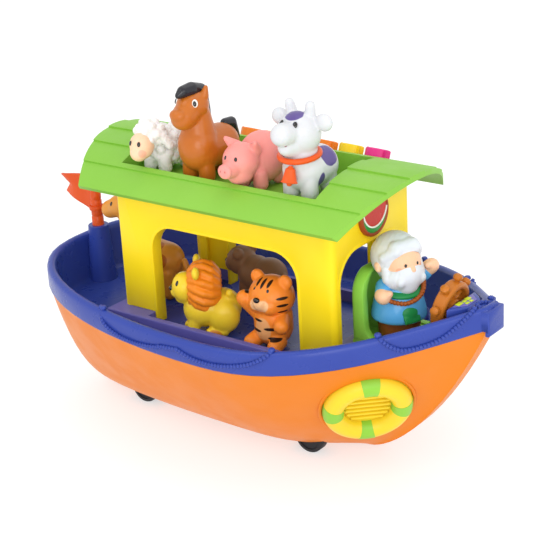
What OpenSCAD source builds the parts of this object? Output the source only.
// Toy ark: a boat hull on hidden wheels, with a cabin, a barrel roof, push keys and loose figures.
// Millimetres. +X points to the bow, +Y to the far side and +Z up. The wheels stand on z = 0.

/* [Hull] */
// From the origin forward to the stem head
stem_x = 176.7; // [170:0.1:184]
// From the origin aft to the stern rim
stern_x = 163.5; // [155:0.5:175]
// Station of the greatest beam, forward of the origin
widest_x = 22.4; // [10:0.2:35]
// Beam over the rim
beam = 195.6; // [188:0.2:210]
// Rim height amidships
rim_z = 96.6; // [92:0.2:105]
// Rise of the rim towards the bow
bow_sheer = 24; // [18:0.5:28]
// Rise of the rim towards the stern
stern_sheer = 10.4; // [4:0.2:16]
// Wall of the hull and of the deck
hull_wall = 2.4; // [1.8:0.1:3]
// Gap between the floor and the keel
keel_z = 3.5; // [2.5:0.1:5]
// Half width of the flat keel
keel_half = 20.9; // [19:0.1:24]
// Forward end of the flat keel
keel_fwd = 88.7; // [84:0.1:94]
// Aft end of the flat keel, behind the origin
keel_aft = 127; // [118:0.5:135]
// Half width of the stem
stem_half = 6; // [4:0.5:8]

/* [Deck] */
// Height of the blue band
band_h = 15.4; // [13:0.2:18]
// Step of the band over the hull
band_lap = 1; // [0.6:0.1:1.6]
// Width of the rounded rim
rim_w = 6.4; // [5:0.2:8]
// From the rim down to the deck floor
deck_drop = 23.6; // [22:0.2:26]
// Rise of the cabin platform over the deck floor
platform_rise = 8; // [6:0.5:9]
// Margin of the platform round the cabin
platform_margin = 12; // [8:0.5:14]
// From the stern rim to the mast's axis
socket_inset = 15.8; // [14:0.2:20]
// Height of the mast socket over the deck floor
socket_h = 41.6; // [36:0.2:46]
// From the stem head back to the console
console_back = 22; // [20:0.5:24]
// Width of the console
console_w = 34; // [30:0.5:36]
// Width of the block at the bow
block_w = 19; // [15:0.5:22]
// Height of the block at the bow
block_h = 15; // [12:0.5:18]

/* [Cabin] */
// Length of the cabin
cabin_len = 177.5; // [172:0.5:183]
// Centre of the cabin, forward of the origin
cabin_x = 2.75; // [0:0.25:6]
// Width of the cabin
cabin_w = 87.2; // [84:0.2:92]
// Height of the side walls
cabin_h = 98; // [94:0.5:104]
// Wall of the cabin
cabin_wall = 3; // [2:0.1:4]
// Length of a side window
window_len = 119; // [110:0.5:124]
// Height of a side window
window_h = 63; // [58:0.5:68]
// Corner radius of a side window
window_r = 18; // [10:0.5:24]
// Width of a doorway
door_w = 73; // [70:0.5:75]
// Height of a doorway
door_h = 64.5; // [61:0.5:65.5]
// Corner radius of a doorway
door_r = 20; // [14:0.5:24]
// Depth of the frame round each opening
jamb = 9; // [6:0.5:11]

/* [Roof] */
// Radius of the barrel
roof_r = 90.2; // [86:0.2:98]
// Thickness of the roof
roof_t = 3; // [2.4:0.1:3.6]
// Overhang past the cabin's ends at the eaves
end_overhang = 14.3; // [10:0.1:18]
// Overhang past the cabin's sides
side_overhang = 18.4; // [14:0.2:22]
// Bulge of each end at the ridge
roof_bulge = 20; // [12:0.5:24]
// Step between two courses
course_step = 0.9; // [0.5:0.1:1.4]
// From the cabin's ends in to the animal tray, on average
tray_gap = 10.25; // [8.75:0.25:13]
// From the ridge to the tray's near edge
tray_near = 43; // [42:0.5:45]
// From the ridge to the tray's far edge
tray_far = 22; // [19:0.5:22.5]
// From the ridge down to the tray's floor
tray_depth = 18.7; // [17.5:0.1:20]

/* [Fish keys] */
// Distance between two keys
key_pitch = 20.4; // [20:0.1:22]
// From the cabin's front back to the first key
key_back = 21.75; // [21:0.25:26]
// From the ridge to the row of keys
key_y = 36; // [35:0.5:38]
// Length of a fish's body
fish_len = 15; // [12:0.5:16]
// Width of a fish's body
fish_w = 8.6; // [7:0.2:9.5]
// Height of a key over the roof
key_rise = 6.5; // [5:0.5:8]
// Travel of a key
key_travel = 2.5; // [1.5:0.1:3]

/* [Lamp] */
// Radius of the bezel
lamp_r = 15.5; // [13:0.25:17]
// From the top of the side walls down to the lamp's centre
lamp_drop = 14.5; // [12:0.5:19]

/* [Mast] */
// Radius of the mast in its socket
mast_r = 4.3; // [3.5:0.1:5]
// Radius of the mast at its top
mast_tip_r = 3.5; // [2.5:0.1:4]
// Height of the mast over its socket
mast_h = 43; // [36:0.5:50]
// Reach of the flag behind the mast
flag_reach = 32; // [26:0.5:36]
// Thickness of the flag
flag_t = 2.6; // [2:0.1:4]

/* [Helm and seat] */
// Radius of the helm over its knobs
helm_r = 21; // [18:0.5:22]
// Radius of the helm's rim
helm_rim_r = 15.5; // [13:0.5:17]
// From the console back to the helm's hub
helm_reach = 7.5; // [7:0.25:9]
// Height of the helm's hub over the platform
helm_h = 32; // [30:0.5:34]
// Backward tilt of the helm
helm_tilt = 12; // [5:1:18]
// Radius of the helm's spindle
spindle_r = 2.9; // [2:0.1:4]
// Width of the seat
seat_w = 46; // [44:0.5:49]
// Length of the seat
seat_len = 44; // [41:0.5:46]
// Height of the seat's back
seat_h = 50; // [44:0.5:52]
// Thickness of the seat's floor
seat_floor = 6; // [4:0.5:8]

/* [Life ring] */
// Radius over the ring
ring_r = 28.4; // [25:0.2:30]
// Radius of the ring's section
ring_tube = 6.6; // [5:0.2:7.5]
// Travel of the ring
ring_travel = 3; // [2:0.1:3.5]
// Height of its centre, as a share of the hull's height
ring_level = 0.58; // [0.54:0.01:0.62]

/* [Wheels] */
// Radius of a wheel
wheel_r = 11; // [10:0.1:12]
// Width of a wheel
wheel_w = 8; // [6:0.5:9]
// Distance between the wheels of an axle
track = 54; // [52:0.5:56]
// Radius of an axle
axle_r = 2; // [1.5:0.1:2.5]
// Front axle, forward of the origin
front_axle_x = 56.8; // [52:0.2:60]
// Rear axle, behind the origin
rear_axle_x = 87.7; // [84:0.2:94]

/* [Figures] */
// Height of the sheep
sheep_h = 38; // [34:0.5:42]
// Height of the horse
horse_h = 68; // [62:0.5:74]
// Height of the pig
pig_h = 34; // [30:0.5:38]
// Height of the cow
cow_h = 62; // [56:0.5:68]
// Height of the lion
lion_h = 48; // [44:0.5:52]
// Height of the tiger
tiger_h = 49.5; // [45:0.5:52]
// Height of the bear
bear_h = 37; // [34:0.5:40]
// Height of the giraffe
giraffe_h = 78; // [72:0.5:80]
// Height of the skipper
skipper_h = 67; // [62:0.5:70]

/* [Power] */
// Radius of a battery cell
cell_r = 5.25; // [5:0.05:6]
// Length of a battery cell
cell_len = 44.5; // [40:0.5:48]
// Wall of the battery box
box_wall = 1.6; // [1.2:0.1:2]
// Radius of the speaker
speaker_r = 14; // [11:0.5:15]
// Place of the speaker, behind the origin
speaker_x = 50; // [48:0.5:51]

/* [Clearances] */
// Gap between pieces that meet
seam = 0.2; // [0.1:0.05:0.3]
// Gap round a sliding key, ring or door
slide_gap = 0.35; // [0.25:0.05:0.5]
// Radial gap of a shaft in its bearing
run_gap = 0.08; // [0.05:0.01:0.1]

/* [Hidden] */
$fn = 48;

// Shape of the hull's curves
stern_power = 2.3;
bow_power = 2.48;
stern_round_top = 0.35;
stern_round_keel = 0.22;
bow_hollow_top = 1.2;
bow_hollow_keel = 1.6;
stem_curve = 0.657;
stern_curve = 0.273;
side_curve = 0.525;
hull_levels = [0, 0.02, 0.06, 0.12, 0.22, 0.35, 0.5, 0.66, 0.83, 1];
stations = concat([for (a = [0:9:81]) -cos(a)], [for (a = [0:10:90]) sin(a)]);

// Heights that follow from the rim
deck_z = rim_z - deck_drop;
platform_z = deck_z + platform_rise;
deck_t = 2.5;
bulwark_gap = 2.2;
bulwark_t = 2.2;
well_end = 13;
bay = 7.8;
passage = 60;

// Faces of the cabin and the barrel of the roof
cabin_front = cabin_x + cabin_len / 2;
cabin_back = cabin_x - cabin_len / 2;
lamp_h = cabin_h - lamp_drop;
window_x = cabin_x + 1;
frame_t = 2;
roof_in = roof_r - roof_t;
roof_axis_z = platform_z + cabin_h - sqrt(pow(roof_in, 2) - pow(cabin_w / 2, 2));
roof_half = cabin_w / 2 + side_overhang;
eave_angle = asin(roof_half / roof_r);
cap_angle = 5.3;
course_count = 3;
course_angle = (eave_angle - cap_angle) / course_count;
tray_x = cabin_x - 1.25;
tray_len = cabin_len - 2 * tray_gap;
tray_wall = 2.5;
tray_floor_z = roof_axis_z + roof_r - tray_depth;

// Fish keys, counted along the radius of the barrel
key_angle = asin(key_y / roof_r);
key_count = 6;
key_x = cabin_len / 2 - key_back;
key_flange = 1.8;
switch_h = 2;
board_t = 1.6;
key_foot = roof_in - 0.4 - key_flange;
key_board_r = key_foot - key_travel - 0.3 - switch_h;
board_side = 4;
key_ends = [key_x + 13, key_x - (key_count - 1) * key_pitch - 13];

// Helm and console
console_x = stem_x - console_back;
console_top = platform_z + 37;
console_foot = platform_z + 18;
hub_t = 8;

// Life ring, on the hull's near bow
ring_station = 0.698;
ring_turn = 44;
ring_down = 27;
pocket = 6.5;
pocket_plate = 2;
pocket_wall = 2.2;
plunger_r = 4;

// Screws
screw_r = 1.5;
screw_head_r = 3.2;
screw_head_t = 2.4;
boss_r = 5.5;
hull_screw_x = [40, -73];
hull_screw_z = deck_z - 20;
post_r = 3.3;
door_screw_r = 1.2;

// Battery box on the keel
cell_count = 3;
cell_pitch = 2 * cell_r + 0.5;
box_len = cell_len + 12;
box_w = cell_count * cell_pitch + 1;
box_h = 2 * cell_r + 4;
door_t = 2;
floor_z = keel_z + hull_wall;
bracket_y = 9.5;

function mix(a, b, k) = a + (b - a) * k;

// Half outline in plan: a station runs from -1 at the stern to 1 at the bow
function plan_point(s, fwd, aft, half, stem, stern_round, bow_hollow) =
    s < 0
    ? [mix(widest_x, aft, -s), half * pow(1 - pow(-s, stern_power), stern_round)]
    : [mix(widest_x, fwd, s), stem + (half - stem) * pow(1 - pow(s, bow_power), bow_hollow)];

// The hull's plan at a share of its height, moved in by an inset
function hull_point(s, level, inset) = plan_point(s,
    mix(keel_fwd, stem_x, pow(level, stem_curve)) - inset,
    mix(-keel_aft, -stern_x + band_lap, pow(level, stern_curve)) + inset,
    mix(keel_half, beam / 2 - band_lap, pow(level, side_curve)) - inset,
    stem_half - inset / 3,
    mix(stern_round_keel, stern_round_top, level),
    mix(bow_hollow_keel, bow_hollow_top, level));

function rim_point(s, inset) = plan_point(s, stem_x + band_lap - inset, -stern_x + inset, beam / 2 - inset,
    stem_half + band_lap - inset / 3, stern_round_top, bow_hollow_top);

function rim_height(x) = rim_z + (x > widest_x
    ? bow_sheer * pow((x - widest_x) / (stem_x - widest_x), 2)
    : stern_sheer * pow((widest_x - x) / (widest_x + stern_x), 2));

function hull_top(x) = rim_height(x) - band_h - seam;

// Closed loop from a half outline, down the far side and back up the near side
function loop(half) = concat(half, [for (i = [len(half) - 1:-1:1]) [half[i].x, -half[i].y]]);

function hull_ring(level, inset, lift) = [for (p = loop([for (s = stations) hull_point(s, level, inset)]))
    [p.x, p.y, mix(keel_z + lift, hull_top(p.x), level)]];

function rim_ring(inset, drop) = [for (p = loop([for (s = stations) rim_point(s, inset)]))
    [p.x, p.y, rim_height(p.x) - drop]];

// Plan of the bulwark where it meets the deck floor, inside the hull's wall
function deck_share(s) = min(1, (deck_z - keel_z) / (hull_top(hull_point(s, 1, 0).x) - keel_z));
function deck_plan(extra) = loop([for (s = stations)
    hull_point(s, deck_share(s), hull_wall + bulwark_gap + extra)]);
function deck_ring(extra, z) = [for (p = deck_plan(extra)) [p.x, p.y, z]];

function ring_faces(a, b, n) = [for (k = [0:n - 1]) each
    [[a * n + k, a * n + (k + 1) % n, b * n + (k + 1) % n], [a * n + k, b * n + (k + 1) % n, b * n + k]]];

// Skin through a list of rings, either capped at both ends or joined end to end
module skin(rings, capped) {
    n = len(rings[0]);
    m = len(rings);
    walls = [for (i = [0:m - 2]) each ring_faces(i, i + 1, n)];
    caps = [[for (k = [n - 1:-1:0]) k], [for (k = [0:n - 1]) (m - 1) * n + k]];
    polyhedron([for (r = rings) each r], concat(walls, capped ? caps : ring_faces(m - 1, 0, n)));
}

// Flat shape in the Y-Z plane, extruded along X
module along_x(x0, x1) {
    translate([x0, 0, 0]) rotate([90, 0, 90]) linear_extrude(x1 - x0) children();
}

// Flat shape in the X-Z plane, extruded along Y
module along_y(y0, y1) {
    translate([0, y1, 0]) rotate([90, 0, 0]) linear_extrude(y1 - y0) children();
}

module box(low, high) {
    translate(low) cube(high - low);
}

// Screw that points up, with its head's top at z = 0
module screw(len, r = screw_r, head_r = screw_head_r) {
    translate([0, 0, -screw_head_t]) cylinder(h = screw_head_t, r = head_r);
    translate([0, 0, -0.1]) cylinder(h = len + 0.1, r = r);
}

// Frames of the moving pieces
module at_ring() {
    p = hull_point(ring_station, ring_level, 0);
    translate([p.x, -p.y, mix(keel_z, hull_top(p.x), ring_level)])
        rotate([90 + ring_down, 0, ring_turn]) children();
}

module at_key(i) {
    translate([cabin_x + key_x - i * key_pitch, 0, roof_axis_z]) rotate([-key_angle, 0, 0]) children();
}

module at_helm() {
    translate([console_x - helm_reach, 0, platform_z + helm_h]) rotate([0, helm_tilt - 90, 0]) children();
}

module at_lamp() {
    translate([cabin_front, 0, platform_z + lamp_h]) rotate([90, 0, 90]) children();
}

// Hull
module hull_shell() color("darkorange") difference() {
    union() {
        skin(concat([for (h = hull_levels) hull_ring(h, 0, 0)],
            [for (i = [len(hull_levels) - 1:-1:0]) hull_ring(hull_levels[i], hull_wall, hull_wall)]), true);
        at_ring() translate([0, 0, -pocket - pocket_plate])
            cylinder(h = pocket + pocket_plate + 0.6, r = ring_r + slide_gap + pocket_wall);
        for (x = hull_screw_x) translate([x, 0, keel_z + 0.5])
            cylinder(h = hull_screw_z - keel_z - 0.5, r = boss_r);
    }
    at_ring() translate([0, 0, -pocket]) cylinder(h = 4 * pocket, r = ring_r + slide_gap);
    at_ring() translate([0, 0, -2 * pocket]) cylinder(h = 2 * pocket, r = plunger_r + slide_gap);
    for (x = hull_screw_x) translate([x, 0, 0]) {
        cylinder(h = hull_screw_z - 4, r = screw_head_r + 0.3);
        cylinder(h = hull_screw_z + 1, r = screw_r + 0.2);
    }
    for (x = [front_axle_x, -rear_axle_x]) for (side = [-1, 1]) translate([x, side * track / 2, wheel_r])
        cube([2 * wheel_r + 4, wheel_w + 3, 2 * wheel_r + 2], center = true);
    box([-box_len / 2, -box_w / 2, 0], [box_len / 2, box_w / 2, floor_z + 1]);
    for (a = [0:60:300]) translate([-speaker_x + 6 * cos(a), 6 * sin(a), 0])
        cylinder(h = floor_z + 1, r = 1.2);
}

// Deck
module platform_outline() {
    p = platform_margin;
    difference() {
        union() {
            translate([cabin_back - p / 2, -cabin_w / 2 - p]) square([cabin_len + p, cabin_w + 2 * p]);
            translate([0, -seat_w / 2]) square([cabin_front + seat_len - 8, seat_w]);
        }
        well_outline();
    }
}

// Sunk floor of the cabin, with bays in the windows and a way out at the stern
module well_outline() {
    back = cabin_back + well_end;
    half = window_len / 2 + frame_t + seam;
    translate([back, cabin_wall - cabin_w / 2]) square([cabin_len - 2 * well_end, cabin_w - 2 * cabin_wall]);
    translate([window_x - half, -cabin_w / 2 - bay]) square([2 * half, cabin_w + 2 * bay]);
    translate([cabin_back - platform_margin, -passage / 2]) square([well_end + platform_margin + 1, passage]);
}

module bow_block() {
    top = hull_top(stem_x) + block_h - 2;
    box([stem_x - 12, -block_w / 2, hull_top(stem_x) + seam], [stem_x + 3, block_w / 2, top]);
    box([stem_x + seam, -block_w / 2, hull_top(stem_x) - 3], [stem_x + 3, block_w / 2, top]);
}

module console() {
    half = console_w / 2;
    translate([0, 0, console_foot]) linear_extrude(console_top - console_foot)
        polygon([[console_x, -half], [console_x + 6, -half + 5], [console_x + 11, -6],
            [console_x + 11, 6], [console_x + 6, half - 5], [console_x, half]]);
}

module deck_tray() color("royalblue") difference() {
    union() {
        skin([rim_ring(band_lap, band_h), rim_ring(0, band_h - 4), rim_ring(0, 3), rim_ring(0.2 * rim_w, 0.8),
            rim_ring(0.5 * rim_w, 0), rim_ring(0.8 * rim_w, 0.8), rim_ring(rim_w, 3),
            deck_ring(bulwark_t, deck_z), deck_ring(0, deck_z - deck_t),
            rim_ring(band_lap + hull_wall + 0.6, band_h)], false);
        difference() {
            union() {
                translate([0, 0, deck_z - deck_t]) linear_extrude(deck_t) polygon(deck_plan(bulwark_t / 2));
                translate([0, 0, deck_z - deck_t]) linear_extrude(platform_rise + deck_t) platform_outline();
            }
            translate([0, 0, deck_z - deck_t - 1]) linear_extrude(platform_rise + 1)
                offset(delta = -deck_t) platform_outline();
        }
        for (x = hull_screw_x) translate([x, 0, hull_screw_z + seam])
            cylinder(h = deck_z - hull_screw_z - seam - 1, r = boss_r);
        translate([socket_inset - stern_x, 0, deck_z - 1])
            cylinder(h = socket_h + 1, r1 = mast_r + 5, r2 = mast_r + 3);
        console();
        bow_block();
    }
    translate([socket_inset - stern_x, 0, deck_z + 2]) cylinder(h = socket_h, r = mast_r + seam / 2);
    at_helm() translate([0, 0, -helm_reach - 12]) cylinder(h = 12 + helm_reach, r = spindle_r + run_gap);
    for (x = hull_screw_x) translate([x, 0, hull_screw_z - 1]) cylinder(h = 18, r = screw_r - 0.2);
    cabin_corners() translate([0, 0, deck_z - deck_t - 1]) cylinder(h = 20, r = screw_r + 0.2);
    at_ring() translate([0, 0, -2 * pocket])
        cylinder(h = 2 * pocket + 1, r = ring_r + slide_gap + pocket_wall + seam);
}

// Cabin
module cabin_corners() {
    inset = cabin_wall + post_r - 1;
    for (x = [cabin_back + inset, cabin_front - inset]) for (side = [-1, 1])
        translate([x, side * (cabin_w + door_w) / 4, 0]) children();
}

module arch(len, h, r, foot) {
    translate([-len / 2, -foot]) square([len, h - r + foot]);
    translate([-len / 2 + r, 0]) square([len - 2 * r, h]);
    for (side = [-1, 1]) translate([side * (len / 2 - r), h - r]) circle(r);
}

module window_outline(grow) {
    translate([window_x, platform_z])
        arch(window_len + 2 * grow, window_h + grow, window_r + grow, platform_rise + 2);
}

module door_outline(grow) {
    translate([0, platform_z]) arch(door_w + 2 * grow, door_h + grow, door_r + grow, platform_rise);
}

module cabin() color("gold") difference() {
    intersection() {
        union() {
            difference() {
                box([cabin_back, -cabin_w / 2, platform_z], [cabin_front, cabin_w / 2, roof_axis_z + roof_r]);
                box([cabin_back + cabin_wall, -cabin_w / 2 + cabin_wall, platform_z - 1],
                    [cabin_front - cabin_wall, cabin_w / 2 - cabin_wall, roof_axis_z + roof_r + 1]);
            }
            for (side = [-1, 1]) intersection() {
                along_y(min(side * cabin_w / 2, side * (cabin_w / 2 - jamb)),
                    max(side * cabin_w / 2, side * (cabin_w / 2 - jamb))) window_outline(frame_t);
                box([cabin_back, -cabin_w, deck_z + seam], [cabin_front, cabin_w, platform_z + cabin_h]);
            }
            for (side = [-1, 1]) intersection() {
                along_x(side > 0 ? cabin_front - jamb : cabin_back,
                    side > 0 ? cabin_front : cabin_back + jamb) door_outline(frame_t);
                box([cabin_back, -cabin_w, platform_z], [cabin_front, cabin_w, platform_z + cabin_h]);
            }
            cabin_corners() translate([0, 0, platform_z]) cylinder(h = 26, r = post_r);
        }
        translate([cabin_back - 1, 0, roof_axis_z]) rotate([0, 90, 0])
            cylinder(h = cabin_len + 2, r = roof_in - seam);
    }
    along_y(-cabin_w, cabin_w) window_outline(0);
    along_x(cabin_back - 1, cabin_back + jamb + 1) door_outline(0);
    along_x(cabin_front - jamb - 1, cabin_front + 1) door_outline(0);
    tray_block(tray_wall + seam);
    at_lamp() translate([0, 0, -2 * cabin_wall]) cylinder(h = 3 * cabin_wall, r = lamp_r - 4);
    cabin_corners() translate([0, 0, platform_z - 1]) cylinder(h = 20, r = screw_r - 0.2);
}

// Roof
function arc_point(r, a) = [r * sin(a), r * cos(a)];
function course_points(k) = [for (j = [0:4]) arc_point(roof_r + course_step * (1 - j / 4),
    eave_angle - (k + j / 4) * course_angle)];
function roof_slope() = [for (k = [0:course_count - 1]) each course_points(k)];
function roof_top() = concat([for (p = roof_slope()) [-p.x, p.y]],
    [for (j = [0:4]) arc_point(roof_r + course_step, (j / 2 - 1) * cap_angle)],
    [for (i = [len(roof_slope()) - 1:-1:0]) roof_slope()[i]]);

module roof_profile() {
    inner = asin(roof_half / roof_in);
    polygon(concat(roof_top(), [for (j = [0:24]) arc_point(roof_in, inner * (1 - j / 12))]));
}

module roof_fill() {
    polygon(roof_top());
}

function roof_end(y) = cabin_len / 2 + end_overhang + roof_bulge * (1 - pow(y / roof_half, 2));
module roof_plan() {
    side = [for (j = [-12:12]) j * (roof_half + 1) / 12];
    translate([0, 0, platform_z]) linear_extrude(2 * cabin_h) polygon(concat(
        [for (y = side) [cabin_x + roof_end(y), y]],
        [for (i = [24:-1:0]) [cabin_x - roof_end(side[i]), side[i]]]));
}

module over_cabin() {
    translate([0, 0, roof_axis_z]) along_x(cabin_back - 60, cabin_front + 60) children();
}

module tray_block(grow) {
    box([tray_x - tray_len / 2 - grow, -tray_near - grow, tray_floor_z - grow],
        [tray_x + tray_len / 2 + grow, tray_far + grow, roof_axis_z + roof_r + 5]);
}

module fish_body(grow) {
    r = (pow(fish_len, 2) + pow(fish_w, 2)) / (4 * fish_w);
    intersection_for(side = [-1, 1]) translate([0, side * (r - fish_w / 2)]) circle(r + grow, $fn = 96);
}

module fish_outline(grow) {
    fish_body(grow);
    translate([fish_len / 2, 0]) polygon([[-3 - grow, 0], [2.6 + grow, fish_w / 3 + 1.4 * grow],
        [1.6 + grow, 0], [2.6 + grow, -fish_w / 3 - 1.4 * grow]]);
}

module key_bosses(r0, r1, r) {
    for (x = key_ends) translate([cabin_x + x, 0, roof_axis_z]) rotate([-key_angle, 0, 0])
        translate([0, 0, r0]) cylinder(h = r1 - r0, r = r);
}

module roof() color("yellowgreen") difference() {
    union() {
        intersection() {
            over_cabin() roof_profile();
            roof_plan();
        }
        intersection() {
            over_cabin() roof_fill();
            tray_block(tray_wall);
        }
        intersection() {
            for (x = [cabin_back + cabin_wall + slide_gap, cabin_front - cabin_wall - slide_gap - 2])
                translate([x, 0, roof_axis_z]) rotate([0, 90, 0]) difference() {
                    cylinder(h = 2, r = roof_in + 1);
                    translate([0, 0, -1]) cylinder(h = 4, r = roof_in - 4);
                }
            box([cabin_back, -cabin_w / 2 + jamb + 1, platform_z + cabin_h - 20],
                [cabin_front, cabin_w / 2 - jamb - 1, roof_axis_z + roof_r]);
        }
        key_bosses(key_board_r, roof_in + 1, 3);
    }
    tray_block(0);
    for (i = [0:key_count - 1]) at_key(i) translate([0, 0, roof_in - 2])
        linear_extrude(roof_t + 8) fish_outline(slide_gap);
    key_bosses(key_board_r - 1, key_board_r + 5, door_screw_r - 0.2);
}

// Fish keys
module fish_key(i, paint) color(paint) at_key(i) {
    translate([0, 0, key_foot]) linear_extrude(roof_r + key_rise - key_foot) fish_outline(0);
    translate([0, 0, key_foot]) linear_extrude(key_flange) fish_body(1.2);
}

module key_board() color("darkgreen") {
    mid = (key_ends[0] + key_ends[1]) / 2;
    difference() {
        translate([cabin_x + mid, 0, roof_axis_z]) rotate([-key_angle, 0, 0])
            translate([-(key_ends[0] - key_ends[1]) / 2 - 4, -board_side, key_board_r - board_t])
            cube([key_ends[0] - key_ends[1] + 8, 2 * board_side, board_t]);
        key_bosses(key_board_r - 9, key_board_r + 1, door_screw_r + 0.1);
    }
    for (i = [0:key_count - 1]) at_key(i) {
        translate([-3, -3, key_board_r]) cube([6, 6, switch_h / 2]);
        translate([0, 0, key_board_r]) cylinder(h = switch_h, r = 1.6);
    }
}

module key_cover() color("olivedrab") {
    mid = (key_ends[0] + key_ends[1]) / 2;
    half = (key_ends[0] - key_ends[1]) / 2 + 4;
    difference() {
        translate([cabin_x + mid, 0, roof_axis_z]) rotate([-key_angle, 0, 0]) difference() {
            translate([-half, -board_side, key_board_r - board_t - 5]) cube([2 * half, 2 * board_side, 5]);
            translate([-half + 9, 1.5 - board_side, key_board_r - board_t - 3.5])
                cube([2 * half - 18, 2 * board_side - 3, 4]);
        }
        key_bosses(key_board_r - 12, key_board_r + 1, door_screw_r + 0.1);
    }
}

module key_cover_screws() color("silver")
    for (x = key_ends) translate([cabin_x + x, 0, roof_axis_z]) rotate([-key_angle, 0, 0])
        translate([0, 0, key_board_r - board_t - 5]) screw(board_t + 9, door_screw_r - 0.25, 2.2);

// Lamp on the bow gable
module lamp_bezel() color("chocolate") at_lamp() {
    linear_extrude(3) difference() {
        circle(lamp_r);
        circle(lamp_r - 2.5);
    }
    linear_extrude(2.6) intersection() {
        circle(lamp_r - 2.4);
        translate([0, 8]) difference() {
            circle(lamp_r - 2.2);
            circle(lamp_r - 3.4);
        }
    }
}

module lamp_lens_red() color("red") at_lamp() linear_extrude(2.4) intersection() {
    circle(lamp_r - 2.5 - seam);
    translate([0, 8]) circle(lamp_r - 3.4 - seam);
}

module lamp_lens_green() color("green") at_lamp() linear_extrude(2.4) difference() {
    circle(lamp_r - 2.5 - seam);
    translate([0, 8]) circle(lamp_r - 2.2 + seam);
}

module lamp_board() color("darkgreen") at_lamp() {
    translate([0, 0, -cabin_wall - board_t]) cylinder(h = board_t, r = lamp_r - 2);
    for (z = [-7, 4]) translate([0, z, -cabin_wall - 0.1]) cylinder(h = cabin_wall - 0.4, r = 2.4);
}

// Mast and flag
module mast_flag() color("orangered") {
    top = deck_z + socket_h + mast_h;
    translate([socket_inset - stern_x, 0, 0]) {
        translate([0, 0, deck_z + 2 + seam]) cylinder(h = socket_h - 2 - seam, r = mast_r);
        translate([0, 0, deck_z + socket_h - 0.1]) cylinder(h = mast_h + 0.1, r1 = mast_r, r2 = mast_tip_r);
        translate([0, 0, top]) sphere(mast_tip_r + 0.8);
        along_y(-flag_t / 2, flag_t / 2) translate([0, top]) polygon([[-5, -7], [-flag_reach * 0.55, -7.5],
            [-flag_reach, -10], [-flag_reach * 0.8, -17], [-flag_reach * 0.84, -25.5],
            [-flag_reach * 0.55, -28], [-flag_reach * 0.2, -33], [-5, -33]]);
        for (z = [-9, -30]) along_y(-flag_t / 2, flag_t / 2) translate([-6, top + z - 1.5]) square([6, 3]);
    }
}

// Seat
module seat() color("limegreen") {
    back = cabin_front - 2.5;
    wing = 5.5;
    fillet = 9;
    corner = 15;
    half = seat_w / 2;
    intersection() {
        union() {
            box([back, -half, platform_z], [back + seat_len, half, platform_z + seat_floor]);
            box([back, -half, platform_z], [back + 3.5, half, platform_z + seat_h]);
            for (side = [-1, 1]) along_y(side > 0 ? half - wing : -half, side > 0 ? half : wing - half)
                translate([back, platform_z]) difference() {
                    polygon([[0, 0], [30, 0], [30, seat_floor + 1], [10 + fillet, seat_floor + 1],
                        [10 + fillet, seat_floor + 1 + fillet], [10, seat_floor + 1 + fillet], [9, seat_h],
                        [0, seat_h]]);
                    translate([10 + fillet, seat_floor + 1 + fillet]) circle(fillet);
                }
        }
        along_x(back - 1, back + seat_len + 1) {
            translate([-half, platform_z - 1]) square([seat_w, seat_h + 1 - corner]);
            translate([-half + corner, platform_z]) square([seat_w - 2 * corner, seat_h]);
            for (side = [-1, 1]) translate([side * (half - corner), platform_z + seat_h - corner])
                circle(corner);
        }
    }
}

// Helm
module helm_wheel() color("sienna") at_helm() difference() {
    union() {
        rotate_extrude() translate([helm_rim_r - 3, -2.6]) square([4.2, 5.2]);
        translate([0, 0, -hub_t / 2]) cylinder(h = hub_t, r = 5.5);
        for (a = [10:45:325]) rotate(a) {
            translate([4, 0, 0]) rotate([0, 90, 0]) cylinder(h = helm_r - 6, r = 1.7, $fn = 24);
            translate([helm_r - 2.4, 0, 0]) sphere(2.4, $fn = 24);
        }
    }
    translate([0, 0, -hub_t]) cylinder(h = 2 * hub_t, r = spindle_r + 0.05);
}

module helm_spindle() color("silver") at_helm()
    translate([0, 0, -helm_reach - 9]) cylinder(h = helm_reach + 9 + hub_t / 2, r = spindle_r);

module helm_cap() color("sienna") at_helm() translate([0, 0, hub_t / 2]) {
    cylinder(h = 1.2, r = 4.6);
    cylinder(h = 2.4, r1 = 4, r2 = 2.4);
}

// Life ring button
module ring_section(grow) {
    translate([ring_r - ring_tube, 1.5]) circle(ring_tube + grow);
}

module ring_turns(grow, spread) {
    for (a = [0:90:270]) rotate(a - spread / 2) rotate_extrude(angle = spread) intersection() {
        ring_section(grow);
        translate([0, -0.3]) square(3 * ring_r);
    }
}

module life_ring() color("yellow") at_ring() {
    band = 24;
    difference() {
        rotate_extrude() intersection() {
            ring_section(0);
            translate([0, -0.3]) square(2 * ring_r);
        }
        ring_turns(1, band + 0.4);
    }
    translate([0, 0, -2.3]) cylinder(h = 2, r = ring_r);
    translate([0, 0, -1]) cylinder(h = 2.2, r = ring_r - 2 * ring_tube - 0.4);
    for (y = [-10:4:10]) translate([-sqrt(196 - y * y), y - 0.8, 0]) cube([2 * sqrt(196 - y * y), 1.6, 2]);
    translate([0, 0, -pocket - pocket_plate - 2.3]) cylinder(h = pocket + pocket_plate + 1, r = plunger_r);
    translate([0, 0, -pocket - pocket_plate - 2.3]) cylinder(h = 2, r = plunger_r + 1.6);
}

module ring_bands() color("limegreen") at_ring() ring_turns(0.25, 24);

module ring_spring() color("silver") at_ring() translate([0, 0, -pocket]) difference() {
    cylinder(h = pocket - 2.3, r = plunger_r + 4);
    translate([0, 0, -1]) cylinder(h = pocket + 2, r = plunger_r + 2.6);
}

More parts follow.
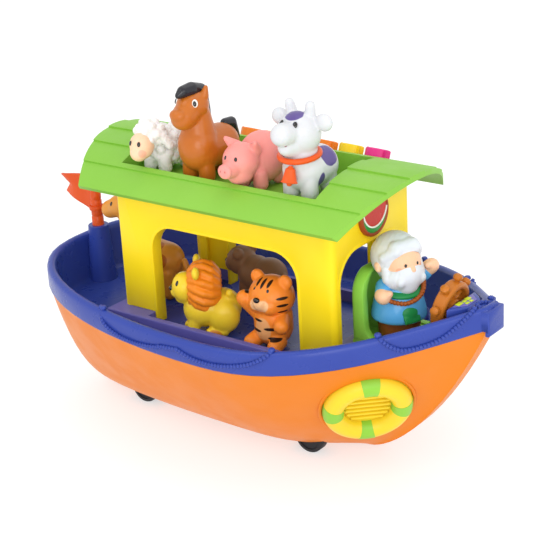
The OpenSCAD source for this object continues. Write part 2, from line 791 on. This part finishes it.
module ring_switch() color("dimgray") at_ring() {
    foot = -pocket - pocket_plate;
    translate([-6, -4, foot - 2.3 - ring_travel - 6.5]) cube([12, 8, 6]);
    for (side = [-1, 1]) translate([side * 9 - 1.5, -4, foot - 2.3 - ring_travel - 6.5])
        cube([3, 8, 2.3 + ring_travel + 6.5 - seam]);
    translate([-10.5, -4, foot - 2.3 - ring_travel - 6.5]) cube([21, 8, 2]);
}

// Wheels
module axle(x) color("silver")
    translate([x, -track / 2 - wheel_w / 2 - 1, wheel_r]) rotate([-90, 0, 0])
        cylinder(h = track + wheel_w + 2, r = axle_r);

module wheel(x, side) color("dimgray")
    translate([x, side * track / 2, wheel_r]) rotate([90, 0, 0]) difference() {
        cylinder(h = wheel_w, r = wheel_r, center = true, $fn = 64);
        for (face = [-1, 1]) translate([0, 0, face * wheel_w / 2]) difference() {
            cylinder(h = 2, r = wheel_r - 2.5, center = true);
            cylinder(h = 3, r = axle_r + 2, center = true);
        }
        cylinder(h = wheel_w + 2, r = axle_r + 0.05, center = true);
    }

module axle_brackets() color("darkorange")
    for (x = [front_axle_x, -rear_axle_x]) for (side = [-1, 1]) difference() {
        translate([x - 5, side * bracket_y - 3, floor_z + seam])
            cube([10, 6, wheel_r + axle_r + 2.5 - floor_z]);
        translate([x, side * bracket_y - 5, wheel_r]) rotate([-90, 0, 0])
            cylinder(h = 10, r = axle_r + run_gap);
    }

// Power and sound
module battery_box() color("gray") difference() {
    box([-box_len / 2 - box_wall - 1, -box_w / 2 - box_wall, floor_z + seam],
        [box_len / 2 + box_wall + 1, box_w / 2 + box_wall, floor_z + box_h + box_wall]);
    box([-box_len / 2 + 5, -box_w / 2, 0], [box_len / 2 - 5, box_w / 2, floor_z + box_h]);
    for (x = [box_len / 2 - 2.5]) translate([x, 0, 0]) cylinder(h = floor_z + 8, r = door_screw_r - 0.2);
}

module battery_cells() color("silver") for (i = [0:cell_count - 1])
    translate([-cell_len / 2, (i - (cell_count - 1) / 2) * cell_pitch, floor_z + cell_r + 1.5])
        rotate([0, 90, 0]) {
            cylinder(h = cell_len - 1, r = cell_r);
            cylinder(h = cell_len, r = 1.9);
        }

module battery_contacts() color("silver") for (side = [-1, 1]) for (i = [0:cell_count - 1])
    translate([side * (cell_len / 2 + 0.5) - 0.3, (i - (cell_count - 1) / 2) * cell_pitch - 3.5,
        floor_z + 2.5])
        cube([0.6, 7, 7]);

module battery_door() color("darkorange") difference() {
    box([-box_len / 2 + slide_gap, -box_w / 2 + slide_gap, keel_z],
        [box_len / 2 - slide_gap, box_w / 2 - slide_gap,
        keel_z + door_t]);
    translate([box_len / 2 - 2.5, 0, 0]) cylinder(h = 20, r = door_screw_r + 0.1);
}

module battery_door_screw() color("silver") translate([box_len / 2 - 2.5, 0, keel_z])
    screw(door_t + 8, door_screw_r - 0.25, 2);

module circuit_board() color("darkgreen") {
    z = floor_z + box_h + box_wall;
    box([-24, -15, z + 3], [24, 15, z + 3 + board_t]);
    for (x = [-20, 20]) for (y = [-12, 12]) translate([x, y, z]) cylinder(h = 3.1, r = 2);
    box([-8, -6, z + 3 + board_t - 0.1], [8, 6, z + 6]);
    translate([16, 4, z + 3]) cylinder(h = 10, r = 3.2);
}

module speaker() color("dimgray") translate([-speaker_x, 0, floor_z + seam]) {
    difference() {
        cylinder(h = 4, r = speaker_r);
        translate([0, 0, -1]) cylinder(h = 3.5, r1 = speaker_r - 1, r2 = 5);
    }
    translate([0, 0, 3.9]) cylinder(h = 5, r = speaker_r * 0.55);
}

// Screws
module hull_screws() color("silver")
    for (x = hull_screw_x) translate([x, 0, hull_screw_z - 4]) screw(15, screw_r - 0.25);

module cabin_screws() color("silver")
    cabin_corners() translate([0, 0, platform_z - deck_t]) screw(16, screw_r - 0.25);

// Loose figures. Each faces +x over its own origin, with its feet on z = 0.
module ball(p, r) {
    translate(p) sphere(r, $fn = 32);
}

// Rounded limb from one point to another
module limb(p, q, r1, r2) {
    d = q - p;
    len = norm(d);
    translate(p) rotate([0, acos(d.z / len), atan2(d.y, d.x)])
        cylinder(h = len, r1 = 0.94 * r1, r2 = 0.94 * r2, $fn = 32);
    ball(p, r1);
    ball(q, r2);
}

module legs(front, rear, spread, r, h) {
    for (x = [front, rear]) for (side = [-1, 1])
        translate([x, side * spread, 0]) cylinder(h = h, r = r, $fn = 32);
}

// Cuts a figure flat at its feet and sets it to its height
module stand(natural, height) {
    scale(height / natural) intersection() {
        union() children();
        translate([-60, -60, 0]) cube([120, 120, 120]);
    }
}

module on_tray(share, y) {
    translate([tray_x + share * tray_len, y, tray_floor_z]) rotate(-90) children();
}

module in_cabin(x, y, turn) {
    translate([cabin_x + x, y, deck_z]) rotate(turn) children();
}

module sheep() color("white") on_tray(-0.3885, -19) stand(38, sheep_h) {
    legs(5, -12, 6, 4.6, 12);
    limb([4, 0, 17], [-10, 0, 16], 13, 12.5);
    ball([13, 0, 26.5], 11.5);
    ball([19, 0, 22], 7.5);
    for (side = [-1, 1]) ball([11, side * 11, 24], 3.6);
}

module horse() color("chocolate") on_tray(-0.1529, -17) stand(68, horse_h) {
    legs(9, -12, 6, 5, 14);
    limb([8, 0, 20], [-10, 0, 20], 13.5, 12.5);
    limb([9, 0, 26], [11, 0, 52], 10, 8.6);
    limb([12, 0, 53], [20, 0, 45], 9, 7.4);
    limb([2, 0, 46], [11, 0, 62], 4, 6);
    for (side = [-1, 1]) limb([8, side * 5, 58], [7, side * 6.5, 64], 3, 1.5);
    limb([-19, 0, 26], [-24, 0, 16], 3.6, 3.2);
}

module pig() color("pink") on_tray(0.1019, -19) stand(36, pig_h) {
    legs(5, -12, 6, 4.6, 12);
    limb([4, 0, 17], [-10, 0, 16], 13, 12.5);
    ball([13, 0, 24.5], 11.5);
    ball([19, 0, 20], 7.5);
    for (side = [-1, 1]) translate([11, side * 6, 26]) rotate([-18 * side, 14, 0])
        cylinder(h = 8, r1 = 4.4, r2 = 1.8);
}

module cow() color("whitesmoke") on_tray(0.3567, -18) stand(62, cow_h) {
    legs(8, -11, 6, 5, 14);
    limb([5, 0, 20], [-10, 0, 18], 13.5, 12.5);
    limb([7, 0, 27], [9, 0, 40], 10.5, 9.5);
    ball([9, 0, 46], 12);
    limb([14, 0, 45], [20, 0, 41], 9.5, 8);
    for (side = [-1, 1]) {
        limb([5, side * 6, 54], [5, side * 7, 60], 2.8, 2);
        limb([5, side * 10, 49], [3, side * 15, 50], 3, 4);
    }
}

module lion() color("orange") in_cabin(-17.25, -39, 180) stand(48, lion_h) {
    legs(6, -16, 7, 5, 12);
    limb([4, 0, 17], [-14, 0, 14], 11.5, 12);
    ball([8, 0, 31], 15.5);
    ball([16, 0, 29], 9.5);
    limb([20, 0, 27], [24, 0, 26], 6, 4.6);
    for (side = [-1, 1]) ball([8, side * 9, 44], 4);
}

module tiger() color("darkorange") in_cabin(30.75, -31, -90) stand(47, tiger_h) {
    cylinder(h = 14, r1 = 13.5, r2 = 11.5, $fn = 32);
    ball([0, 0, 15], 12.8);
    ball([1.5, 0, 31.5], 13);
    limb([9, 0, 29], [12, 0, 28.5], 6.5, 5);
    for (side = [-1, 1]) ball([0, side * 10, 42.6], 4.4);
    limb([3, -9, 20], [7, -15, 28], 4.4, 4.6);
    limb([3, 9, 20], [8, 13, 19], 4.4, 4.6);
}

module bear() color("saddlebrown") in_cabin(-25.5, 27, 180) stand(37, bear_h) {
    legs(6, -14, 7, 4.6, 10);
    limb([3, 0, 17.4], [-9, 0, 16.6], 12.4, 12.8);
    limb([15, 0, 25], [22.5, 0, 21.8], 10.5, 5.8);
    for (side = [-1, 1]) ball([12, side * 7.5, 33], 4);
}

module giraffe() color("peru") in_cabin(-93.5, 0, 180) stand(66, giraffe_h) {
    legs(9, -11, 5.5, 4.4, 16);
    limb([6, 0, 23], [-10, 0, 22], 11, 11.5);
    limb([9, 0, 28], [25, 0, 50], 8, 6.2);
    limb([25, 0, 51], [37, 0, 47], 7.6, 5.4);
    for (side = [-1, 1]) {
        limb([22, side * 3.4, 56], [20, side * 4, 63.6], 1.8, 2.4);
        limb([21, side * 5.4, 53], [18, side * 11, 55], 2.6, 1.6);
    }
}

module skipper() color("steelblue")
    translate([cabin_front + 18.5, 0, platform_z + seat_floor]) stand(67, skipper_h) {
        cylinder(h = 12.5, r1 = 13, r2 = 14, $fn = 32);
        translate([0, 0, 11.5]) cylinder(h = 24, r1 = 17, r2 = 12, $fn = 32);
        ball([-0.5, 0, 51.2], 15.8);
        limb([7, 0, 46], [9, 0, 36], 10.5, 7);
        limb([1, -11, 32], [11, -17, 27], 5.4, 5.6);
        limb([1, 11, 32], [12, 18, 41], 5.4, 5.6);
    }

hull_shell();
deck_tray();
cabin();
roof();
mast_flag();
seat();
lamp_bezel();
lamp_lens_red();
lamp_lens_green();
lamp_board();
key_board();
key_cover();
key_cover_screws();
fish_key(0, "deeppink");  // fish_key_1
fish_key(1, "yellow");  // fish_key_2
fish_key(2, "orange");  // fish_key_3
fish_key(3, "deeppink");  // fish_key_4
fish_key(4, "yellow");  // fish_key_5
fish_key(5, "orange");  // fish_key_6
helm_wheel();
helm_spindle();
helm_cap();
life_ring();
ring_bands();
ring_spring();
ring_switch();
axle(front_axle_x);  // front_axle
wheel(front_axle_x, -1);  // front_wheel_near
wheel(front_axle_x, 1);  // front_wheel_far
axle(-rear_axle_x);  // rear_axle
wheel(-rear_axle_x, -1);  // rear_wheel_near
wheel(-rear_axle_x, 1);  // rear_wheel_far
axle_brackets();
battery_box();
battery_cells();
battery_contacts();
battery_door();
battery_door_screw();
circuit_board();
speaker();
hull_screws();
cabin_screws();
sheep();
horse();
pig();
cow();
lion();
tiger();
bear();
giraffe();
skipper();
